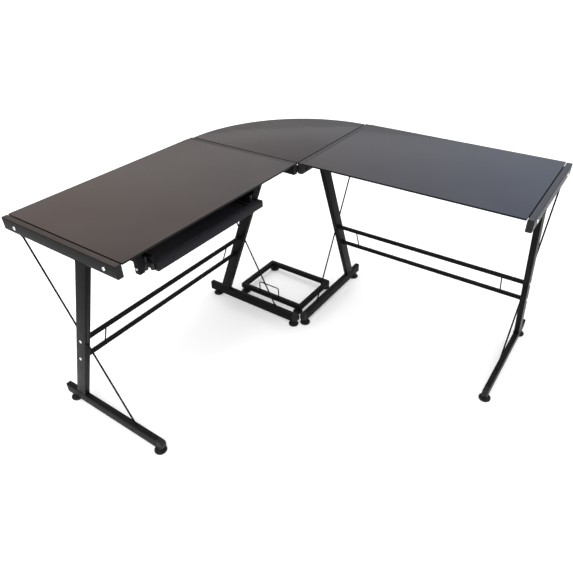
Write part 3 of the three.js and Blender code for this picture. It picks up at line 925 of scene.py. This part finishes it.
def add_hanger_welds(side):
    """The weld round each hanger's top and a cap that closes its lower end."""
    middle = across_tray(side, HANGER_OUTER - HALF_TUBE)
    half = HANGER_WIDTH / 2
    bead_inset = 0.2
    cap_inset = 2.0
    build = Builder()
    for front in HANGER_FRONTS.values():
        back = front + HANGER_WIDTH
        outline = rounded(middle - half + bead_inset, middle + half - bead_inset,
                          front + bead_inset, back - bead_inset, 3.0, 3)
        seam = [(x, y, RAIL_BOTTOM - 0.4) for x, y in outline]
        build.wire(seam, 1.3, sides=8, looped=True, swell=lambda i: wobble(i, front))
        cap = ((middle - half + cap_inset, middle + half - cap_inset), (front + cap_inset, back - cap_inset))
        build.slab(cap, (HANGER_BOTTOM - 0.5, HANGER_BOTTOM + 0.4), "z", 2.0, 0.2)
    build.make(f"tray_{side}_hanger_welds", "left", COAT, "desk")


def add_slide_rivets(side):
    profile = [(0, 0), (4.6, 0), (4.6, 0.5), (3.9, 1.3), (2.4, 1.9), (0, 2.1)]
    build = Builder()
    for depth in RIVET_DEPTHS:
        build.turned(profile, (across_tray(side, RIVET_X), depth, SLIDE_TOP), sides=24)
    build.make(f"{side}_moving_slide_rivets", "left", STEEL, "tray")


def add_slide_stops(side):
    """The moulded blocks at the front ends of the fixed and the moving slide."""
    build = Builder()
    build.slab((STOP_Z, span(side, FIXED_STOP_X)), FIXED_STOP_DEPTHS, "y", 2.0, 0.8)
    build.make(f"{side}_fixed_slide_stop", "left", GREY_PLASTIC, "desk")

    build = Builder()
    front = MOVING_STOP_FRONTS[side]
    build.slab((STOP_Z, span(side, MOVING_STOP_X)), (front, front + MOVING_STOP_LENGTH), "y", 2.0, 0.8)
    build.make(f"{side}_moving_slide_stop", "left", GREY_PLASTIC, "tray")


for side_name, out_way in (("left", 1), ("right", -1)):
    add_hanger_screws(side_name, out_way)
    add_hanger_welds(side_name)
    add_slide_rivets(side_name)
    add_slide_stops(side_name)


# ---------------------------------------------------------------- computer stand

def mitre(build, corner, inward):
    """The weld lines of a mitred corner, on the ring's top and bottom faces."""
    (x, y), (dx, dy) = corner, inward
    for z in STAND_Z:
        points = [(x + dx * reach, y + dy * reach, z) for reach in [2.6 + 1.2 * i for i in range(14)]]
        build.wire(points, 0.8, sides=8, swell=lambda i: wobble(i, x + z))


def add_stand_welds():
    """Mitre welds at the ring's corners, and a ring of weld round each end of the guard."""
    bead_radius = 3.0
    build = Builder()
    for corner_x, way_x in zip(STAND_X, (1, -1)):
        for corner_y, way_y in zip(STAND_Y, (1, -1)):
            mitre(build, (corner_x, corner_y), (way_x, way_y))
    for guard_x in GUARD_ENDS:
        bead = []
        for angle in angles(16):
            x = guard_x + bead_radius * math.cos(angle)
            bead.append((x, GUARD_Y + bead_radius * math.sin(angle), STAND_Z[1] + 0.5))
        build.wire(bead, 1.1, sides=8, looped=True, swell=lambda i: wobble(i, guard_x))
    build.make("stand_welds", "right", COAT, "stand")


def add_stand_nuts():
    build = Builder()
    for x, y in STAND_FEET.values():
        hex_nut(build, (x, y, STAND_NUT_Z), STAND_NUT_HEIGHT)
    build.make("stand_leveller_nuts", "right", COAT, "stand")


add_stand_welds()
add_stand_nuts()
for foot_place, (foot_x, foot_y) in STAND_FEET.items():
    add_leveller(f"stand_{foot_place}", "right", foot_x, foot_y, STAND_Z[0])


# ---------------------------------------------------------------- camera, light and floor

CAMERA_AT = (1019.5, -1476.3, 1455.0)
CAMERA_YAW = 34.75  # degrees turned left from looking along +Y
CAMERA_PITCH = 35.08  # degrees down
CAMERA_ROLL = -0.97
CAMERA_LENS = 33.32
CAMERA_SENSOR = 36.0
CAMERA_SHIFT = (-0.0206, 0.0021)
WORLD_STRENGTHS = (0.35, 1.60)  # at the horizon and overhead
WORLD_TINTS = [(1.0, 0.955, 0.93, 1.0), (0.95, 0.98, 1.03, 1.0)]  # on the desk's left and right
WORLD_TINT_REACH = 0.6  # how far to each side the tint goes on changing
FLOOR_GLOW = 0.22  # fills the shadows on the floor
FLOOR_REACH = 30.0
FLOOR_Z = -0.0005  # just under the feet


def add_camera():
    yaw, pitch, roll = (math.radians(a) for a in (CAMERA_YAW, CAMERA_PITCH, CAMERA_ROLL))
    ahead = Vector((-math.sin(yaw) * math.cos(pitch), math.cos(yaw) * math.cos(pitch), -math.sin(pitch)))
    level = Vector((math.cos(yaw), math.sin(yaw), 0.0))
    over = level.cross(ahead)
    right = level * math.cos(roll) + over * math.sin(roll)
    up = over * math.cos(roll) - level * math.sin(roll)
    data = bpy.data.cameras.new("camera")
    data.lens = CAMERA_LENS
    data.sensor_width = CAMERA_SENSOR
    data.shift_x, data.shift_y = CAMERA_SHIFT
    data.clip_start, data.clip_end = 0.02, 100.0
    camera = bpy.data.objects.new("camera", data)
    bpy.context.scene.collection.objects.link(camera)
    turn = Matrix((right, up, -ahead)).transposed().to_4x4()
    camera.matrix_world = Matrix.Translation(to_frame("right", CAMERA_AT)) @ turn
    bpy.context.scene.camera = camera


def add_light(name, at, aim, size, power, color):
    data = bpy.data.lights.new(name, "AREA")
    data.shape = "DISK"
    data.size = size
    data.energy = power
    data.color = color
    light = bpy.data.objects.new(name, data)
    bpy.context.scene.collection.objects.link(light)
    light.location = at
    light.rotation_euler = (Vector(aim) - Vector(at)).to_track_quat("-Z", "Y").to_euler()


def add_world():
    """A soft surround, brightest overhead, a touch warm on the desk's left and cool on its right."""
    world = bpy.data.worlds.new("studio")
    bpy.context.scene.world = world
    world.use_nodes = True
    nodes, links = world.node_tree.nodes, world.node_tree.links
    background = nodes["Background"]
    coords = nodes.new("ShaderNodeTexCoord")
    across = nodes.new("ShaderNodeVectorMath")
    across.operation = "DOT_PRODUCT"
    across.inputs[1].default_value = (*ACROSS, 0.0)
    links.new(coords.outputs["Generated"], across.inputs[0])
    spread = nodes.new("ShaderNodeMapRange")
    spread.inputs["From Min"].default_value = -WORLD_TINT_REACH
    spread.inputs["From Max"].default_value = WORLD_TINT_REACH
    links.new(across.outputs["Value"], spread.inputs["Value"])
    ramp = nodes.new("ShaderNodeValToRGB")
    for element, tint in zip(ramp.color_ramp.elements, WORLD_TINTS):
        element.color = tint
    links.new(spread.outputs["Result"], ramp.inputs["Fac"])
    links.new(ramp.outputs["Color"], background.inputs["Color"])
    apart = nodes.new("ShaderNodeSeparateXYZ")
    links.new(coords.outputs["Generated"], apart.inputs["Vector"])
    climb = nodes.new("ShaderNodeMapRange")
    climb.inputs["To Min"].default_value = WORLD_STRENGTHS[0]
    climb.inputs["To Max"].default_value = WORLD_STRENGTHS[1]
    links.new(apart.outputs["Z"], climb.inputs["Value"])
    links.new(climb.outputs["Result"], background.inputs["Strength"])


def add_floor():
    surface = Surface("studio_floor")
    mottle = surface.noise(1.2, 3.0)
    surface.set(
        Base_Color=surface.ramp(mottle, [(0.3, (0.86, 0.86, 0.86)), (0.7, (0.88, 0.88, 0.88))]),
        Roughness=0.9,
    )
    surface.shader.inputs["Specular IOR Level"].default_value = 0.1
    surface.shader.inputs["Emission Color"].default_value = (1.0, 1.0, 1.0, 1.0)
    surface.shader.inputs["Emission Strength"].default_value = FLOOR_GLOW
    mesh = bpy.data.meshes.new("studio_floor")
    low, high = -FLOOR_REACH, FLOOR_REACH
    mesh.from_pydata([(low, low, 0), (high, low, 0), (high, high, 0), (low, high, 0)], [], [(0, 1, 2, 3)])
    mesh.materials.append(surface.material)
    floor = bpy.data.objects.new("studio_floor", mesh)
    floor.location.z = FLOOR_Z
    bpy.context.scene.collection.objects.link(floor)


add_camera()
add_world()
add_floor()
add_light("key", (0.6, -2.6, 3.6), (0.0, 0.0, 0.4), 2.6, 70.0, (1.0, 0.99, 0.98))
add_light("overhead", (-0.4, 0.2, 4.2), (0.0, 0.0, 0.5), 3.4, 60.0, (1.0, 1.0, 1.0))
bpy.context.scene.view_settings.view_transform = "Standard"
